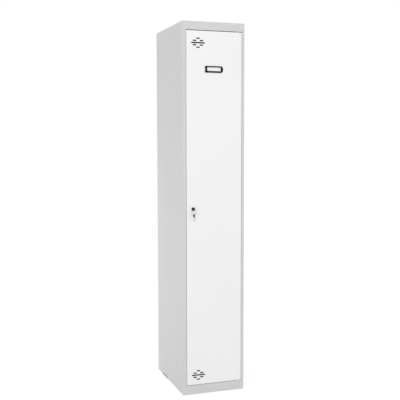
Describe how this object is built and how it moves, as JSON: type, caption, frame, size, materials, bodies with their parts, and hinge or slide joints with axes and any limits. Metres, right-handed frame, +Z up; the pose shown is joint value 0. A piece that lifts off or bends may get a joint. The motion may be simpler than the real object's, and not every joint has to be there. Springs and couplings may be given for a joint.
{
  "type": "metal locker",
  "caption": "Tall narrow steel locker with a full-height flush door on hidden pivots, slotted vents, a key cam lock, label holder, hat shelf and hanging rail.",
  "frame": {"origin": "middle of the bottom of the box round the whole locker, key and ring included, on the floor", "axes": "+X to the right seen from the front, +Y from the front to the back, +Z up"},
  "size_m": [0.315, 0.472, 1.8],
  "materials": {
    "carcass_paint": "light grey powder coat, satin, faint orange peel",
    "door_paint": "white powder coat, satin, faint orange peel",
    "rail_chrome": "polished chrome plate",
    "black_plastic": "black moulded plastic, fine grain",
    "buffer_rubber": "matt black rubber",
    "bush_nylon": "natural nylon",
    "zinc_steel": "bright zinc plate",
    "rivet_aluminium": "bare drawn aluminium",
    "lock_metal": "dark chrome on die-cast zinc",
    "key_steel": "nickel-plated steel",
    "card_paper": "bare white card"
  },
  "bodies": {
    "carcass": {"left_side_panel": "carcass_paint", "right_side_panel": "carcass_paint", "roof_panel": "carcass_paint", "base_panel": "carcass_paint", "back_panel": "carcass_paint", "left_floor_angle": "carcass_paint", "right_floor_angle": "carcass_paint", "shelf": "carcass_paint", "left_shelf_support": "carcass_paint", "right_shelf_support": "carcass_paint", "left_rail_bracket": "carcass_paint", "right_rail_bracket": "carcass_paint", "hanging_rail": "rail_chrome", "upper_buffer": "buffer_rubber", "lower_buffer": "buffer_rubber", "top_pivot_bush": "bush_nylon", "bottom_pivot_bush": "bush_nylon", "back_rivets": "rivet_aluminium", "front_left_foot": "black_plastic", "front_right_foot": "black_plastic", "rear_left_foot": "black_plastic", "rear_right_foot": "black_plastic", "left_rail_cap": "black_plastic", "right_rail_cap": "black_plastic"},
    "door": {"door_panel": "door_paint", "door_stiffener": "door_paint", "top_pivot_bracket": "door_paint", "bottom_pivot_bracket": "door_paint", "top_pivot_pin": "zinc_steel", "bottom_pivot_pin": "zinc_steel", "label_frame": "black_plastic", "lock_housing": "lock_metal", "lock_nut": "zinc_steel"},
    "label_card": {"label_card": "card_paper"},
    "lock_rotor": {"lock_plug": "lock_metal", "lock_cam": "zinc_steel", "cam_washer": "zinc_steel", "cam_screw": "zinc_steel"},
    "key": {"key_blade": "key_steel", "key_head": "black_plastic"},
    "key_ring": {"key_ring": "key_steel"},
    "spare_key": {"spare_key_blade": "key_steel", "spare_key_head": "black_plastic"}
  },
  "joints": [
    {"name": "door_hinge", "type": "hinge", "parent": "carcass", "child": "door", "pos_m": [0.1235, -0.2083, 0.9], "axis": [0, 0, 1], "range_deg": [0, 110]},
    {"name": "card_slide", "type": "slide", "parent": "door", "child": "label_card", "axis": [-1, 0, 0], "range_m": [0, 0.06]},
    {"name": "lock_turn", "type": "hinge", "parent": "door", "child": "lock_rotor", "pos_m": [-0.1055, -0.2163, 0.911], "axis": [0, -1, 0], "range_deg": [0, 90]},
    {"name": "key_pull", "type": "slide", "parent": "lock_rotor", "child": "key", "axis": [0, -1, 0], "range_m": [0, 0.03]},
    {"name": "ring_swing", "type": "hinge", "parent": "key", "child": "key_ring", "pos_m": [-0.1055, -0.2291, 0.909], "axis": [-1, 0, 0], "range_deg": [-4, 60]},
    {"name": "spare_key_swing", "type": "hinge", "parent": "key_ring", "child": "spare_key", "pos_m": [-0.1055, -0.2291, 0.885], "axis": [-1, 0, 0], "range_deg": [-5, 75]}
  ]
}
